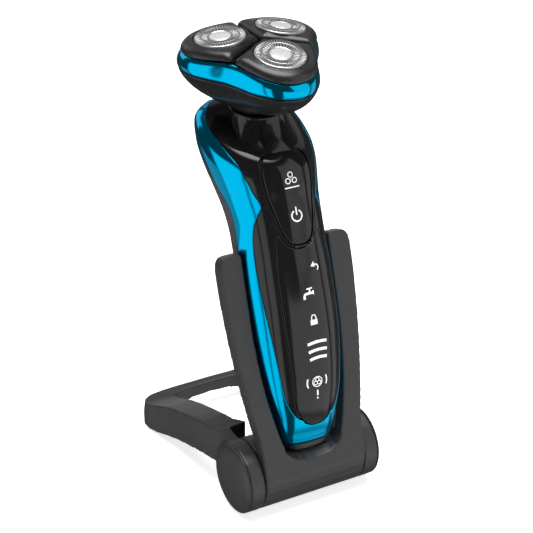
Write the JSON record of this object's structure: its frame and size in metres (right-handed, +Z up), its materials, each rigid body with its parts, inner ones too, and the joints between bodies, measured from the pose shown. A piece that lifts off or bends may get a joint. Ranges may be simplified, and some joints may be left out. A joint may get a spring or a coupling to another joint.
{
  "type": "rotary electric shaver",
  "caption": "Cordless rotary shaver with flexing round shaving faces, a glossy body with a display strip, and a folding desk stand with a loop leg.",
  "frame": {"origin": "on the floor, under the middle of the footprint of the shaver in its open stand", "axes": "+Z up, -Y towards the front where the display strip faces, +X to the viewer's right when facing the front; X runs along the stand's hinge"},
  "size_m": [0.0748, 0.1058, 0.2042],
  "materials": {
    "satin": "dark grey satin moulded plastic",
    "stand_satin": "dark grey satin moulded plastic with fine texture",
    "gloss_black": "polished piano black",
    "blue_trim": "metallic cyan-blue lacquer, high gloss",
    "grip_rubber": "soft grey over-moulded rubber",
    "black_rubber": "black rubber",
    "steel": "turned steel",
    "shaving_steel": "ground steel with radial slots",
    "bright_cap": "bright satin chrome",
    "inner_plastic": "dark moulded plastic",
    "gear_plastic": "white acetal",
    "board_green": "green solder resist",
    "cell_wrap": "green shrink wrap",
    "brass": "plated contact"
  },
  "bodies": {
    "stand": {"stand_frame": "stand_satin", "foot_strip": "black_rubber", "hinge_pin": "steel"},
    "leg": {"stand_leg": "stand_satin", "end_cap_left": "stand_satin", "end_cap_right": "stand_satin", "friction_washer_left": "steel", "friction_washer_right": "steel", "leg_foot_left": "black_rubber", "leg_foot_right": "black_rubber"},
    "shaver": {"rear_grip": "grip_rubber", "side_trim": "blue_trim", "upper_housing": "gloss_black", "lower_housing": "gloss_black", "display_panel": "gloss_black", "bottom_cap": "inner_plastic", "charge_pin_left": "brass", "charge_pin_right": "brass", "chassis": "inner_plastic", "battery": "cell_wrap", "motor": "steel", "circuit_board": "board_green", "light_guide": "gear_plastic", "button_switch": "inner_plastic", "board_screw_low": "steel", "board_screw_high": "steel", "neck_collar": "gloss_black"},
    "button": {"power_button": "gloss_black"},
    "motor_rotor": {"motor_shaft": "steel"},
    "neck_drive": {"drive_shaft": "steel"},
    "neck": {"neck_pivot": "inner_plastic", "neck_seal": "black_rubber"},
    "head": {"head_bowl": "satin", "head_band": "blue_trim", "gear_plate": "inner_plastic"},
    "drive": {"drive_gear": "gear_plastic"},
    "satellite_left": {"satellite_gear_left": "gear_plastic"},
    "face_left": {"pad_left": "satin", "outer_guard_left": "shaving_steel", "centre_cap_left": "bright_cap"},
    "cutter_left": {"inner_cutter_left": "shaving_steel"},
    "satellite_right": {"satellite_gear_right": "gear_plastic"},
    "face_right": {"pad_right": "satin", "outer_guard_right": "shaving_steel", "centre_cap_right": "bright_cap"},
    "cutter_right": {"inner_cutter_right": "shaving_steel"},
    "satellite_front": {"satellite_gear_front": "gear_plastic"},
    "face_front": {"pad_front": "satin", "outer_guard_front": "shaving_steel", "centre_cap_front": "bright_cap"},
    "cutter_front": {"inner_cutter_front": "shaving_steel"}
  },
  "joints": [
    {"name": "leg_fold", "type": "hinge", "parent": "stand", "child": "leg", "pos_m": [0, -0.0363, 0.0165], "axis": [1, 0, 0], "range_deg": [0, 50]},
    {"name": "shaver_lift", "type": "slide", "parent": "stand", "child": "shaver", "axis": [0, 0.3012, 0.9536], "range_m": [0, 0.12]},
    {"name": "button_press", "type": "slide", "parent": "shaver", "child": "button", "axis": [0, 0.9536, -0.3012], "range_m": [0, 0.0007], "stiffness_N_per_m": 400},
    {"name": "motor_spin", "type": "hinge", "parent": "shaver", "child": "motor_rotor", "pos_m": [0, -0.00563, 0.14314], "axis": [0, 0.3012, 0.9536], "continuous": true},
    {"name": "drive_shaft_spin", "type": "hinge", "parent": "shaver", "child": "neck_drive", "pos_m": [0, 0.00205, 0.17187], "axis": [0, -0.0972, 0.9953], "continuous": true},
    {"name": "neck_tilt", "type": "hinge", "parent": "shaver", "child": "neck", "pos_m": [0, 0.00186, 0.17386], "axis": [1, 0, 0], "range_deg": [-3.5, 3.5], "stiffness_Nm_per_rad": 1.2},
    {"name": "head_release", "type": "slide", "parent": "neck", "child": "head", "axis": [0, -0.0972, 0.9953], "range_m": [0, 0.025]},
    {"name": "drive_gear_spin", "type": "hinge", "parent": "head", "child": "drive", "pos_m": [0, 0.0006, 0.1868], "axis": [0, -0.0972, 0.9953], "continuous": true},
    {"name": "satellite_spin_left", "type": "hinge", "parent": "head", "child": "satellite_left", "pos_m": [-0.01386, 0.00856, 0.18758], "axis": [0, -0.0972, 0.9953], "continuous": true},
    {"name": "pad_tip_left", "type": "hinge", "parent": "head", "child": "face_left", "pos_m": [-0.02598, 0.01455, 0.19821], "axis": [0.5, 0.8619, 0.0842], "range_deg": [0, 2], "stiffness_Nm_per_rad": 0.06},
    {"name": "cutter_spin_left", "type": "hinge", "parent": "face_left", "child": "cutter_left", "pos_m": [-0.01446, 0.00745, 0.20254], "axis": [-0.1145, -0.0306, 0.9929], "continuous": true},
    {"name": "satellite_spin_right", "type": "hinge", "parent": "head", "child": "satellite_right", "pos_m": [0.01386, 0.00856, 0.18758], "axis": [0, -0.0972, 0.9953], "continuous": true},
    {"name": "pad_tip_right", "type": "hinge", "parent": "head", "child": "face_right", "pos_m": [0.02598, 0.01455, 0.19821], "axis": [0.5, -0.8619, -0.0842], "range_deg": [0, 2], "stiffness_Nm_per_rad": 0.06},
    {"name": "cutter_spin_right", "type": "hinge", "parent": "face_right", "child": "cutter_right", "pos_m": [0.01446, 0.00745, 0.20254], "axis": [0.1145, -0.0306, 0.9929], "continuous": true},
    {"name": "satellite_spin_front", "type": "hinge", "parent": "head", "child": "satellite_front", "pos_m": [0, -0.01533, 0.18524], "axis": [0, -0.0972, 0.9953], "continuous": true},
    {"name": "pad_tip_front", "type": "hinge", "parent": "head", "child": "face_front", "pos_m": [0, -0.03023, 0.19384], "axis": [-1, 0, 0], "range_deg": [0, 2], "stiffness_Nm_per_rad": 0.06},
    {"name": "cutter_spin_front", "type": "hinge", "parent": "face_front", "child": "cutter_front", "pos_m": [0, -0.01748, 0.2001], "axis": [0, -0.228, 0.9737], "continuous": true}
  ],
  "couplings": [
    {"joint": "drive_shaft_spin", "follows": "motor_spin", "ratio": 1},
    {"joint": "drive_gear_spin", "follows": "motor_spin", "ratio": 1},
    {"joint": "satellite_spin_left", "follows": "motor_spin", "ratio": -1.25},
    {"joint": "cutter_spin_left", "follows": "motor_spin", "ratio": -1.25},
    {"joint": "satellite_spin_right", "follows": "motor_spin", "ratio": -1.25},
    {"joint": "cutter_spin_right", "follows": "motor_spin", "ratio": -1.25},
    {"joint": "satellite_spin_front", "follows": "motor_spin", "ratio": -1.25},
    {"joint": "cutter_spin_front", "follows": "motor_spin", "ratio": -1.25}
  ]
}
